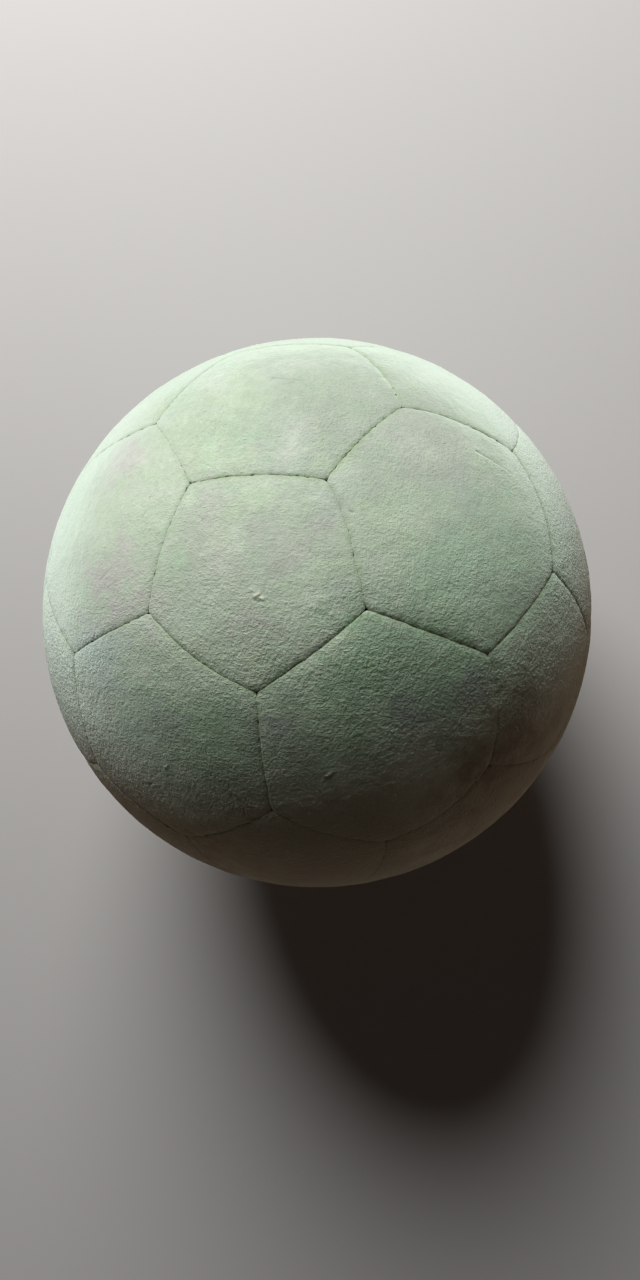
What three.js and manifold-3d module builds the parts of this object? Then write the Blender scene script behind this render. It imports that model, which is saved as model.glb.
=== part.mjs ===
import * as THREE from 'three';
import { mergeVertices } from 'three/addons/utils/BufferGeometryUtils.js';
import Module from 'manifold-3d';

// A hand-stitched, inflated felt ball of twelve pentagons and twenty hexagons.
// Sizes are in millimetres and +Z is up. The ball rests on the middle of its bottom pentagon,
// and the origin is the centre of the small flat that its weight presses there.

// Ball
const ballDiameter = 218;
const flatDepth = 0.5; // how far the bottom felt is pressed in by the ball's weight

// Panels: felt bonded to a woven lining, with the edges turned in and sewn back to back
const panelThickness = 4;
const foldRadius = 2.5; // round of the felt where it turns in at a seam
const turnedEdgeDepth = 6.5; // from the ball's surface to the end of a turned-in edge
const turnedEdgeThickness = 2; // the edges are pared thinner before they are turned
const seamGap = 0.3; // between the turned-in edges of two panels

// Thread, drawn as the line that its stitches follow between the turned-in edges
const threadDiameter = 0.8;
const threadDepth = 4.3; // from the ball's surface to the middle of the thread
const threadClearance = 0.3;

// Bladder
const bladderWall = 1;
const bladderClearance = 0.3; // to the ends of the turned-in edges
const bladderHoleClearance = 0.3; // round the valve's stem

// Valve body, moulded in rubber: a boss in the panel's hole, a flange and a stem
const bossDiameter = 7.2;
const bossRecess = 0.8; // the boss stops this far under the felt
const bossRounding = 0.6;
const valveFlangeDiameter = 30;
const valveFlangeThickness = 0.8;
const valveFlangeClearance = 0.3; // over the bladder
const stemDiameter = 11;
const stemLength = 12; // below the flange, inside the bladder
const stemTipDiameter = 7;
const stemTaperLength = 3;
const needleDiameter = 1.8;

// Valve core, the soft plug that the needle goes through
const coreDiameter = 4;
const coreClearance = 0.3;
const coreLength = 8.4;
const coreRecess = 0.6; // the plug stops this far under the top of the boss
const coreChannelDiameter = 0.9;
const needleMouthDiameter = 2.2;
const needleMouthDepth = 1.2;

// Reinforcing patch on the lining round the valve
const patchDiameter = 44;
const patchThickness = 0.6;
const patchClearance = 0.3; // to the lining and to the boss

// The panel's hole for the valve boss
const bossHoleClearance = 0.3;

// Counts
const edgeSteps = 2; // straight steps along each panel edge
const flatSides = 20;
const holeSides = 16;
const latheSides = 24;
const bladderSides = 20;
const bladderArcSteps = 13;
const dishSteps = 3;
const threadSides = 5;

// Shares
const crownShare = 0.5; // place of the ring of points between a panel's centre and its edge
const foldShares = [0, 0.5, 1]; // steps round the fold, as shares of a quarter turn

const ballRadius = ballDiameter / 2;
const liningRadius = ballRadius - panelThickness;
const turnedEdgeRadius = ballRadius - turnedEdgeDepth;
const threadPathRadius = ballRadius - threadDepth;
const halfGap = seamGap / 2;

// Materials

const feltMaterial = new THREE.MeshStandardMaterial({ color: '#9aa891', roughness: 1, metalness: 0 });
const threadMaterial = new THREE.MeshStandardMaterial({ color: '#5d6354', roughness: 0.7, metalness: 0 });
const bladderMaterial = new THREE.MeshStandardMaterial({ color: '#2a2826', roughness: 0.55, metalness: 0 });
const valveMaterial = new THREE.MeshStandardMaterial({ color: '#1d1d1c', roughness: 0.5, metalness: 0 });
const coreMaterial = new THREE.MeshStandardMaterial({ color: '#8d8a80', roughness: 0.45, metalness: 0 });
const patchMaterial = new THREE.MeshStandardMaterial({ color: '#c9c2ae', roughness: 0.95, metalness: 0 });

// Layout of the panels: a truncated icosahedron. The twelve pentagon centres are a pole,
// an upper and a lower ring of five and the other pole. Three of them that are neighbours
// make a hexagon, and a corner lies a third of the way from one pentagon centre to the next.

const ringCount = 5;
const ringLatitude = Math.atan(0.5);
const upperRingStart = -Math.PI / 2;
const neighbourLimit = 1.2; // radians, above the angle between neighbouring pentagon centres

function directionAt(latitude, azimuth) {
  return new THREE.Vector3(
    Math.cos(latitude) * Math.cos(azimuth),
    Math.cos(latitude) * Math.sin(azimuth),
    Math.sin(latitude),
  );
}

function pentagonCentres() {
  const centres = [{ name: 'top', direction: new THREE.Vector3(0, 0, 1) }];
  for (const [name, latitude, start] of [
    ['upper', ringLatitude, upperRingStart],
    ['lower', -ringLatitude, -upperRingStart],
  ]) {
    for (let place = 0; place < ringCount; place += 1) {
      const azimuth = start + (place * 2 * Math.PI) / ringCount;
      centres.push({ name: `${name}_${place + 1}`, direction: directionAt(latitude, azimuth) });
    }
  }
  centres.push({ name: 'bottom', direction: new THREE.Vector3(0, 0, -1) });
  return centres;
}

const pentagons = pentagonCentres();

function areNeighbours(a, b) {
  return a !== b && pentagons[a].direction.angleTo(pentagons[b].direction) < neighbourLimit;
}

function cornerDirection([from, to]) {
  const near = pentagons[from].direction.clone().multiplyScalar(2);
  return near.add(pentagons[to].direction).normalize();
}

// Puts corners in order round a panel's centre, anticlockwise as seen from outside.
function inOrder(corners, centre) {
  const across = cornerDirection(corners[0]).projectOnPlane(centre).normalize();
  const along = centre.clone().cross(across);
  const turn = (corner) => {
    const direction = cornerDirection(corner);
    const angle = Math.atan2(direction.dot(along), direction.dot(across));
    return angle < 0 ? angle + 2 * Math.PI : angle;
  };
  const [first, ...others] = corners;
  return [first, ...others.sort((a, b) => turn(a) - turn(b))];
}

function makePanel(name, centre, cornerKeys) {
  const keys = inOrder(cornerKeys, centre);
  const corners = keys.map(cornerDirection);
  const seamNormals = corners.map((corner, k) => {
    const next = corners[(k + 1) % corners.length];
    return corner.clone().cross(next).normalize();
  });
  return { name, centre, keys, corners, seamNormals, upper: centre.z > 0 };
}

function pentagonPanels() {
  return pentagons.map(({ name, direction }, i) => {
    const keys = pentagons.map((_, j) => [i, j]).filter(([a, b]) => areNeighbours(a, b));
    return makePanel(`pentagon_panel_${name}`, direction, keys);
  });
}

// The hexagons' rings, from the top down, and the latitude halfway between two rings.
const hexagonRings = ['top', 'upper', 'lower', 'bottom'];

function hexagonCentres() {
  const found = [];
  for (let i = 0; i < pentagons.length; i += 1) {
    for (let j = i + 1; j < pentagons.length; j += 1) {
      for (let k = j + 1; k < pentagons.length; k += 1) {
        if (areNeighbours(i, j) && areNeighbours(j, k) && areNeighbours(i, k)) {
          const centre = new THREE.Vector3();
          [i, j, k].forEach((n) => centre.add(pentagons[n].direction));
          found.push({ centre: centre.normalize(), trio: [i, j, k] });
        }
      }
    }
  }
  return found.sort((a, b) => b.centre.z - a.centre.z);
}

function hexagonPanels() {
  const centres = hexagonCentres();
  return hexagonRings.flatMap((ringName, ring) => {
    const members = centres.slice(ring * ringCount, (ring + 1) * ringCount);
    const fromBack = ({ centre }) => Math.abs(Math.atan2(centre.x, centre.y));
    members.sort((a, b) => fromBack(a) - fromBack(b) || a.centre.x - b.centre.x);
    return members.map(({ centre, trio: [i, j, k] }, place) => {
      const keys = [[i, j], [j, i], [j, k], [k, j], [k, i], [i, k]];
      return makePanel(`hexagon_panel_${ringName}_${place + 1}`, centre, keys);
    });
  });
}

// Closed surfaces made of rings of points. Each ring goes anticlockwise as seen from where
// the list of rings starts. A ring of one point is an apex. With loops set, the last ring
// joins the first, as round a hole.

function stripBetween(a, b, startA, startB, triangles) {
  let i = 0;
  let j = 0;
  while (i < a.length || j < b.length) {
    const nextA = a.length === 1 ? 2 : (i + 1) / a.length;
    const nextB = b.length === 1 ? 2 : (j + 1) / b.length;
    if (Math.min(nextA, nextB) > 1) {
      break;
    }
    const fromA = startA + (i % a.length);
    const fromB = startB + (j % b.length);
    if (nextB <= nextA) {
      j += 1;
      triangles.push(fromA, fromB, startB + (j % b.length));
    } else {
      i += 1;
      triangles.push(fromA, fromB, startA + (i % a.length));
    }
  }
}

function surfaceThrough(rings, loops) {
  const starts = [];
  const positions = [];
  for (const ring of rings) {
    starts.push(positions.length / 3);
    ring.forEach((point) => positions.push(point.x, point.y, point.z));
  }
  const triangles = [];
  const last = loops ? rings.length : rings.length - 1;
  for (let n = 0; n < last; n += 1) {
    const next = (n + 1) % rings.length;
    stripBetween(rings[n], rings[next], starts[n], starts[next], triangles);
  }
  const geometry = new THREE.BufferGeometry();
  geometry.setAttribute('position', new THREE.Float32BufferAttribute(positions, 3));
  geometry.setIndex(triangles);
  geometry.computeVertexNormals();
  return geometry;
}

// Rings of a panel

// The point at a distance from the ball's centre that keeps a setback from both seams
// that meet at a corner.
function cornerPoint(panel, k, radius, setback) {
  const count = panel.corners.length;
  const before = panel.seamNormals[(k + count - 1) % count];
  const after = panel.seamNormals[k];
  const inwards = before.clone().add(after).multiplyScalar(setback / (1 + before.dot(after)));
  const outwards = Math.sqrt(radius ** 2 - inwards.lengthSq());
  return inwards.addScaledVector(panel.corners[k], outwards);
}

function edgeRing(panel, radius, setback) {
  const cornerPoints = panel.corners.map((_, k) => cornerPoint(panel, k, radius, setback));
  const inSeamPlane = Math.sqrt(radius ** 2 - setback ** 2);
  return cornerPoints.flatMap((point, k) => {
    const next = cornerPoints[(k + 1) % cornerPoints.length];
    const normal = panel.seamNormals[k];
    const points = [point];
    for (let step = 1; step < edgeSteps; step += 1) {
      const between = point.clone().lerp(next, step / edgeSteps).projectOnPlane(normal);
      points.push(between.setLength(inSeamPlane).addScaledVector(normal, setback));
    }
    return points;
  });
}

function crownRing(panel, radius, edge) {
  return edge.map((point) => {
    const direction = panel.centre.clone().lerp(point.clone().normalize(), crownShare);
    return direction.setLength(radius);
  });
}

// A circle round the panel's middle, on the sphere of the given radius.
function circleRing(panel, radius, circleRadius, sides) {
  const across = panel.corners[0].clone().projectOnPlane(panel.centre).normalize();
  const along = panel.centre.clone().cross(across);
  const height = Math.sqrt(radius ** 2 - circleRadius ** 2);
  return Array.from({ length: sides }, (_, n) => {
    const angle = (n * 2 * Math.PI) / sides;
    const point = panel.centre.clone().multiplyScalar(height);
    point.addScaledVector(across, circleRadius * Math.cos(angle));
    return point.addScaledVector(along, circleRadius * Math.sin(angle));
  });
}

// The turned-in edges keep a channel between them for the thread, diamond-shaped in section.
const channelReach = Math.SQRT2 * (threadDiameter / 2 + threadClearance);
const channelDepth = channelReach - halfGap;

// The rings from the edge of the felt's crown, over the fold and down the turned-in edge,
// to where it meets the lining.
function edgeRings(panel) {
  const foldRings = foldShares.map((share) => {
    const turn = (share * Math.PI) / 2;
    const drop = foldRadius * (1 - Math.cos(turn));
    return edgeRing(panel, ballRadius - drop, halfGap + foldRadius * (1 - Math.sin(turn)));
  });
  return [
    ...foldRings,
    edgeRing(panel, threadPathRadius + channelDepth, halfGap),
    edgeRing(panel, threadPathRadius, channelReach),
    edgeRing(panel, threadPathRadius - channelDepth, halfGap),
    edgeRing(panel, turnedEdgeRadius, halfGap),
    edgeRing(panel, turnedEdgeRadius, halfGap + turnedEdgeThickness),
    edgeRing(panel, liningRadius, halfGap + turnedEdgeThickness),
  ];
}

// The middle of a panel's felt or lining: plain, pressed flat, or with the valve's hole.
function middleRings(panel, radius, form) {
  if (form.holeDiameter) {
    return [circleRing(panel, radius, form.holeDiameter / 2, holeSides)];
  }
  const isFelt = radius === ballRadius;
  if (form.flatDepth && isFelt) {
    const flatHeight = radius - form.flatDepth;
    const flatRadius = Math.sqrt(radius ** 2 - flatHeight ** 2);
    const middle = panel.centre.clone().multiplyScalar(flatHeight);
    return [[middle], circleRing(panel, radius, flatRadius, flatSides)];
  }
  return [[panel.centre.clone().multiplyScalar(radius)]];
}

function panelGeometry(panel, form) {
  const edges = edgeRings(panel);
  const rings = [
    ...middleRings(panel, ballRadius, form),
    crownRing(panel, ballRadius, edges[0]),
    ...edges,
    crownRing(panel, liningRadius, edges[edges.length - 1]),
    ...middleRings(panel, liningRadius, form),
  ];
  return surfaceThrough(rings, Boolean(form.holeDiameter));
}

// Seams and their thread

function seamsOf(panels) {
  const seams = new Map();
  for (const panel of panels) {
    panel.keys.forEach((key, k) => {
      const ends = [key, panel.keys[(k + 1) % panel.keys.length]];
      const name = ends.map((end) => end.join('_')).sort().join(' ');
      const seam = seams.get(name) ?? { ends, halves: [] };
      seam.halves.push(panel.upper);
      seams.set(name, seam);
    });
  }
  return [...seams.values()];
}

// A tube round a path near a sphere about the ball's centre. Each section lies in the plane
// that halves the bend of the path.
function threadTube(path, loops) {
  const count = path.length;
  const stepFrom = (n) => path[(n + 1) % count].clone().sub(path[n]).normalize();
  const sections = path.map((point, n) => {
    const isStart = !loops && n === 0;
    const isEnd = !loops && n === count - 1;
    const before = isStart ? stepFrom(n) : stepFrom((n + count - 1) % count);
    const after = isEnd ? before : stepFrom(n);
    const forwards = before.clone().add(after).normalize();
    const stretch = 1 / forwards.dot(before);
    const outwards = point.clone().projectOnPlane(forwards).normalize();
    const sideways = outwards.clone().cross(forwards);
    const bend = after.clone().sub(before).projectOnPlane(forwards);
    const bendAxis = bend.lengthSq() > 0 ? bend.normalize() : outwards;
    return Array.from({ length: threadSides }, (_, side) => {
      const angle = (side * 2 * Math.PI) / threadSides;
      const offset = outwards.clone().multiplyScalar(Math.cos(angle));
      offset.addScaledVector(sideways, Math.sin(angle)).multiplyScalar(threadDiameter / 2);
      offset.addScaledVector(bendAxis, offset.dot(bendAxis) * (stretch - 1));
      return point.clone().add(offset);
    });
  });
  if (loops) {
    return surfaceThrough(sections, true);
  }
  return surfaceThrough([[path[0]], ...sections, [path[count - 1]]], false);
}

// The thread's path along one seam, between its two corners.
function seamPath({ ends: [from, to] }) {
  const start = cornerDirection(from).multiplyScalar(threadPathRadius);
  const end = cornerDirection(to).multiplyScalar(threadPathRadius);
  const steps = Array.from({ length: edgeSteps + 1 }, (_, n) => n / edgeSteps);
  return steps.map((share) => start.clone().lerp(end, share).setLength(threadPathRadius));
}

// Moves a path's first point along its first step: forwards to shorten it, backwards to
// lengthen it.
function moveStart(path, distance) {
  const forwards = path[1].clone().sub(path[0]).normalize();
  path[0].addScaledVector(forwards, distance);
  return path;
}

const wasm = await Module();
wasm.setup();

function solidFrom(geometry) {
  const bare = geometry.clone();
  bare.deleteAttribute('normal');
  const merged = mergeVertices(bare);
  const vertProperties = new Float32Array(merged.attributes.position.array);
  const triVerts = new Uint32Array(merged.index.array);
  return new wasm.Manifold(new wasm.Mesh({ numProp: 3, vertProperties, triVerts }));
}

function geometryFrom(solid) {
  const mesh = solid.getMesh();
  const geometry = new THREE.BufferGeometry();
  geometry.setAttribute('position', new THREE.Float32BufferAttribute(mesh.vertProperties, 3));
  geometry.setIndex([...mesh.triVerts]);
  geometry.computeVertexNormals();
  return geometry;
}

// Three seams meet at each corner, so a path turns there by a sixth of a full turn.
const junctionHalfTurn = Math.PI / 6;

// The thread of one half of the ball. Its runs join where three seams meet, and stop short
// of the seam that closes the two halves.
function halfThreadGeometry(seams, closingKeys) {
  const threadRadius = threadDiameter / 2;
  const overrun = threadRadius * Math.tan(junctionHalfTurn);
  const stopShort = threadRadius / Math.cos(junctionHalfTurn) + threadClearance;
  let net = null;
  for (const seam of seams) {
    let path = seamPath(seam);
    for (const end of seam.ends) {
      path = moveStart(path, closingKeys.has(end.join('_')) ? stopShort : -overrun);
      path.reverse();
    }
    const run = solidFrom(threadTube(path, false));
    net = net ? net.add(run) : run;
  }
  return geometryFrom(net);
}

// The closing thread goes once round the ball along the seams between the halves.
function closingThreadGeometry(seams) {
  const waiting = [...seams];
  const path = [];
  let { ends: [, reached] } = waiting[0];
  path.push(...seamPath(waiting.shift()).slice(0, -1));
  while (waiting.length > 0) {
    const place = waiting.findIndex(({ ends }) => ends.some((end) => end.join() === reached.join()));
    const [{ ends }] = waiting.splice(place, 1);
    const ordered = ends[0].join() === reached.join() ? ends : [ends[1], ends[0]];
    path.push(...seamPath({ ends: ordered }).slice(0, -1));
    [, reached] = ordered;
  }
  return threadTube(path, true);
}

// Bladder and valve, turned about the valve's axis. The profiles give the distance from that
// axis and the height along it from the ball's centre.

const turnedEdgeDip = Math.cos(seamAngle() / (2 * edgeSteps));
const bladderRadius = turnedEdgeRadius * turnedEdgeDip - bladderClearance;
const valveFlangeUnderRadius = bladderRadius + valveFlangeClearance;
const valveFlangeTopRadius = valveFlangeUnderRadius + valveFlangeThickness;
const stemRadius = stemDiameter / 2;
const bossRadius = bossDiameter / 2;
const boreRadius = coreDiameter / 2 + coreClearance;
const bossHoleDiameter = bossDiameter + 2 * bossHoleClearance;

function seamAngle() {
  return cornerDirection([0, 1]).angleTo(cornerDirection([1, 0]));
}

const heightOn = (radius, fromAxis) => Math.sqrt(radius ** 2 - fromAxis ** 2);
const at = (fromAxis, height) => new THREE.Vector2(fromAxis, height);

const bossTop = heightOn(ballRadius, bossRadius) - bossRecess;
const coreTop = bossTop - coreRecess;
const coreEnd = coreTop - coreLength;

function dishArc(radius, from, to, steps) {
  return Array.from({ length: steps + 1 }, (_, n) => {
    const fromAxis = from + ((to - from) * n) / steps;
    return at(fromAxis, heightOn(radius, fromAxis));
  });
}

function bladderArc(radius, holeRadius) {
  const holeAngle = Math.asin(holeRadius / radius);
  return Array.from({ length: bladderArcSteps + 1 }, (_, n) => {
    const angle = Math.PI - ((Math.PI - holeAngle) * n) / bladderArcSteps;
    return at(n === 0 ? 0 : radius * Math.sin(angle), radius * Math.cos(angle));
  });
}

function bladderGeometry() {
  const holeRadius = stemRadius + bladderHoleClearance;
  const outside = bladderArc(bladderRadius, holeRadius);
  const inside = bladderArc(bladderRadius - bladderWall, holeRadius);
  return new THREE.LatheGeometry([...outside, ...inside.reverse()], bladderSides);
}

function valveBodyGeometry() {
  const flangeRadius = valveFlangeDiameter / 2;
  const needleRadius = needleDiameter / 2;
  const stemTop = heightOn(valveFlangeUnderRadius, stemRadius);
  const stemEnd = stemTop - stemLength;
  const boreEnd = coreEnd - coreClearance;
  const profile = [
    at(needleRadius, stemEnd),
    at(stemTipDiameter / 2, stemEnd),
    at(stemRadius, stemEnd + stemTaperLength),
    ...dishArc(valveFlangeUnderRadius, stemRadius, flangeRadius, dishSteps),
    ...dishArc(valveFlangeTopRadius, flangeRadius, bossRadius, dishSteps),
    at(bossRadius, bossTop - bossRounding),
    at(bossRadius - bossRounding, bossTop),
    at(boreRadius, bossTop),
    at(boreRadius, boreEnd),
    at(needleRadius, boreEnd),
    at(needleRadius, stemEnd),
  ];
  return new THREE.LatheGeometry(profile, latheSides);
}

function valveCoreGeometry() {
  const coreRadius = coreDiameter / 2;
  const channelRadius = coreChannelDiameter / 2;
  const profile = [
    at(channelRadius, coreEnd),
    at(coreRadius, coreEnd),
    at(coreRadius, coreTop),
    at(needleMouthDiameter / 2, coreTop),
    at(channelRadius, coreTop - needleMouthDepth),
    at(channelRadius, coreEnd),
  ];
  return new THREE.LatheGeometry(profile, latheSides);
}

// The lining is faceted, so the patch follows the lowest that its facets reach.
function valvePatchGeometry(valvePanel) {
  const liningEdge = edgeRings(valvePanel).pop();
  const innerCrown = crownRing(valvePanel, liningRadius, liningEdge);
  const facetAngle = valvePanel.centre.angleTo(innerCrown[0]);
  const topRadius = liningRadius * Math.cos(facetAngle / 2) - patchClearance;
  const underRadius = topRadius - patchThickness;
  const innerRadius = bossRadius + patchClearance;
  const outerRadius = patchDiameter / 2;
  const profile = [
    ...dishArc(underRadius, innerRadius, outerRadius, dishSteps),
    ...dishArc(topRadius, outerRadius, innerRadius, dishSteps),
    at(innerRadius, heightOn(underRadius, innerRadius)),
  ];
  return new THREE.LatheGeometry(profile, latheSides);
}

// Assembly

const ball = new THREE.Group();
ball.position.z = ballRadius - flatDepth;

function addPiece(parent, name, geometry, material) {
  const piece = new THREE.Mesh(geometry, material);
  piece.name = name;
  parent.add(piece);
}

// The valve is in the upper ring's hexagon at the back of the ball.
const valvePanelName = 'hexagon_panel_upper_1';
const bottomPanelName = 'pentagon_panel_bottom';
const panelForms = {
  [valvePanelName]: { holeDiameter: bossHoleDiameter },
  [bottomPanelName]: { flatDepth },
};

const panels = [...pentagonPanels(), ...hexagonPanels()];
for (const panel of panels) {
  addPiece(ball, panel.name, panelGeometry(panel, panelForms[panel.name] ?? {}), feltMaterial);
}

const seams = seamsOf(panels);
const closingSeams = seams.filter(({ halves }) => halves[0] !== halves[1]);
const closingKeys = new Set(closingSeams.flatMap(({ ends }) => ends.map((end) => end.join('_'))));
for (const [name, isUpper] of [['upper', true], ['lower', false]]) {
  const ownSeams = seams.filter(({ halves }) => halves.every((half) => half === isUpper));
  addPiece(ball, `seam_thread_${name}_half`, halfThreadGeometry(ownSeams, closingKeys), threadMaterial);
}
addPiece(ball, 'closing_thread', closingThreadGeometry(closingSeams), threadMaterial);

const valvePanel = panels.find(({ name }) => name === valvePanelName);
const valveAxis = new THREE.Group();
valveAxis.quaternion.setFromUnitVectors(new THREE.Vector3(0, 1, 0), valvePanel.centre);
ball.add(valveAxis);
addPiece(valveAxis, 'bladder', bladderGeometry(), bladderMaterial);
addPiece(valveAxis, 'valve_body', valveBodyGeometry(), valveMaterial);
addPiece(valveAxis, 'valve_core', valveCoreGeometry(), coreMaterial);
addPiece(valveAxis, 'valve_patch', valvePatchGeometry(valvePanel), patchMaterial);

export default ball;
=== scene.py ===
import collections
import functools
import itertools
import math

import bpy
import numpy as np
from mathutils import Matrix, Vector


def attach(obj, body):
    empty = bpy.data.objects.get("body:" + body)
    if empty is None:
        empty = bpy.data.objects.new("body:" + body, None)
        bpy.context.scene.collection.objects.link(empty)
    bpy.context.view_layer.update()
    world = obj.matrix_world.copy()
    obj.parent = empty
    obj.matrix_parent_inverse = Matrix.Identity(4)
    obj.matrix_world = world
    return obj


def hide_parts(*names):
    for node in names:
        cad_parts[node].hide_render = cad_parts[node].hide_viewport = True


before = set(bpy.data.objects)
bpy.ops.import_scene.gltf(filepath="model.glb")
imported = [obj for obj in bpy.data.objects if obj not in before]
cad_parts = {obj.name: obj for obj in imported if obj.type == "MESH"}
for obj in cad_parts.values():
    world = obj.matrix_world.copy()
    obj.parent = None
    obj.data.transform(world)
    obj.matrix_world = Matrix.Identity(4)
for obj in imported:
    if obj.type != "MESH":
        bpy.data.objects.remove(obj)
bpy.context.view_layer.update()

# A stitched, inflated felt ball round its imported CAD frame. Each CAD panel is replaced by a
# fine mesh of the same panel with its puff, fold, seam and matted nap. Lengths are in
# millimetres until a mesh is made, and Blender's objects are in metres.

METRE = 0.001  # one millimetre in metres

# The ball, as in the CAD
BALL_RADIUS = 109.0
FLAT_DEPTH = 0.5
BALL_CENTRE = np.array([0.0, 0.0, BALL_RADIUS - FLAT_DEPTH])
LINING_DEPTH = 4.0
TURNED_EDGE_DEPTH = 6.5
TURNED_EDGE_THICKNESS = 2.0
THREAD_RADIUS = 0.4
THREAD_CLEARANCE = 0.3
THREAD_DEPTH = 4.3
CHANNEL_REACH = math.sqrt(2) * (THREAD_RADIUS + THREAD_CLEARANCE)
HALF_GAP = 0.15  # between two panels' turned-in edges
HOLE_RADIUS = 3.9  # round the valve
VALVE_PANEL = "hexagon_panel_upper_1"

# The look of the panels
PUFF_DROP = 0.29  # how far a panel's edge lies under its middle, before the seam's own dip
PUFF_REACH = 2.6  # how fast that drop fades away from the seam
DIP_DROP = 0.21  # the seam's own dip, and how fast it fades
DIP_REACH = 0.45
DIP_RANGE = (0.4, 1.7)  # least and most of the dip along a seam, as a share of it
DIP_SHARE = 0.75  # power by which the dip follows a seam's depth
FOLD_RADIUS = 0.045
SHOWN_HALF_GAP = 0.012  # between the felt's faces where they press together
CORNER_ROUNDING = 1.1
SEWN_ROUNDING = 0.8
STITCH_LENGTH = 5.6
STITCH_PULL = 0.13  # share by which a stitch deepens the puff's drop
WIGGLE_REACH = 3.0  # how far from the seam its sideways waver moves the felt
SEAM_SOIL_AND_SHADE = 0.46  # how much of the felt's colour is soil and painted shade at a seam of the common depth
SOIL_AND_SHADE_RANGE = (0.12, 0.62)
SOIL_AND_SHADE_REACH = 2.0
FRAY = 0.30  # how far the nap draws back here and there from the seam
FRAY_REACH = 0.6
EDGE_NAP_REACH = 0.7  # from the seam, where the nap is lower
EDGE_NAP = 0.5  # share of the nap's height that is left at the seam
HOLE_ROUNDING = 0.6
HOLE_NAP = 0.3  # share of the nap's height at the valve's hole
PRESSED_ROUNDING = 0.03  # where the felt leaves the ground
TUFT_HEIGHT = 0.080
NAP_SINK = 0.05  # brings the middle height of the nap back to the ball's surface

# Waves over the ball: how strong each is, its wavelength in millimetres and its seed
WIGGLES = ((0.22, 6.5, 60), (0.11, 1.9, 63))  # sideways waver of a seam, in millimetres
DIP_WAVES = ((0.7, 7.0, 90), (0.35, 1.9, 91))  # share by which a seam's dip varies
FRAY_WAVE = (1.6, 1.7, 77)  # share by which the nap draws back
NAP_WAVES = ((0.050, 1.1, 7), (0.035, 2.4, 8))  # fine relief, in millimetres
UNEVEN_WAVES = ((0.072, 4.6, 9), (0.13, 13, 10))  # broad relief, in millimetres
STRENGTH_WAVES = ((0.22, 38, 12), (0.28, 17, 13))  # share by which the fine relief varies
NAP_SHIFT = np.array([7.3, 1.9, 4.1])  # puts the grid of the nap's noise off the ball's centre
PANEL_SHIFT = 50.0  # puts each panel in its own part of the fray's noise

# Mesh density: rings between a panel's middle and its edge, and points along each side
STEPS = 96
DEEP_STEPS = 16
LINING_STEPS = 8
HOLE_STEPS = 10  # the first ring round the valve's hole
HOLE_TURNS = (90, 60, 30)  # degrees round the hole's edge
EDGE_SETBACK = 0.8  # where the evenly spaced rings end
EDGE_SHARES = (1 / 3, 2 / 3)  # of the way from there to the fold
FOLD_TURNS = (0, 18, 36, 52, 66, 79, 90)  # degrees round the fold
UNDER_FOLD = ((1.9, 0.15), (2.6, 0.6))  # depth, and share of the way back to the sewn line


# Layout of the panels: a truncated icosahedron, with the names that the CAD gives them

def unit(v):
    v = np.asarray(v, float)
    return v / np.linalg.norm(v, axis=-1, keepdims=True)


def ring_of_five(name, latitude, start):
    for k in range(5):
        azimuth = start + k * 2 * math.pi / 5
        yield f"{name}_{k + 1}", np.array([
            math.cos(latitude) * math.cos(azimuth),
            math.cos(latitude) * math.sin(azimuth),
            math.sin(latitude),
        ])


RING_LATITUDE = math.atan(0.5)
PENTAGONS = dict([
    ("top", np.array([0.0, 0.0, 1.0])),
    *ring_of_five("upper", RING_LATITUDE, -math.pi / 2),
    *ring_of_five("lower", -RING_LATITUDE, math.pi / 2),
    ("bottom", np.array([0.0, 0.0, -1.0])),
])
NAMES = list(PENTAGONS)
NEIGHBOUR_COSINE = 0.4


def are_neighbours(a, b):
    return a != b and float(PENTAGONS[a] @ PENTAGONS[b]) > NEIGHBOUR_COSINE


# How far the sewn corners lie from their ideal places, in millimetres along x, y and z, where
# the photograph shows them. The others stray a little at random.
CORNER_STRAY = {
    ("top", "upper_4"): (-0.9, 0.6, -0.4),
    ("top", "upper_3"): (0.1, 0.05, 0.0),
    ("upper_3", "top"): (-0.2, -0.5, 0.5),
    ("upper_3", "upper_2"): (0.55, 1.1, -1.7),
    ("upper_4", "top"): (1.8, -3.0, 3.1),
    ("top", "upper_5"): (-0.35, 0.1, -0.1),
    ("upper_5", "top"): (0.2, 0.7, 0.35),
    ("top", "upper_1"): (0.3, -0.05, 0.0),
    ("top", "upper_2"): (-0.3, 0.2, 0.1),
    ("upper_2", "top"): (0.6, -0.6, -0.75),
    ("upper_2", "upper_3"): (0.2, -0.5, -0.2),
    ("upper_1", "top"): (0.2, -0.55, -0.5),
    ("upper_2", "upper_1"): (0.15, 0.5, 0.4),
    ("upper_5", "upper_1"): (0.3, -0.65, -0.3),
    ("upper_1", "upper_5"): (-1.0, -0.3, -1.15),
    ("upper_1", "upper_2"): (0.0, -0.15, -0.25),
}

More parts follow.
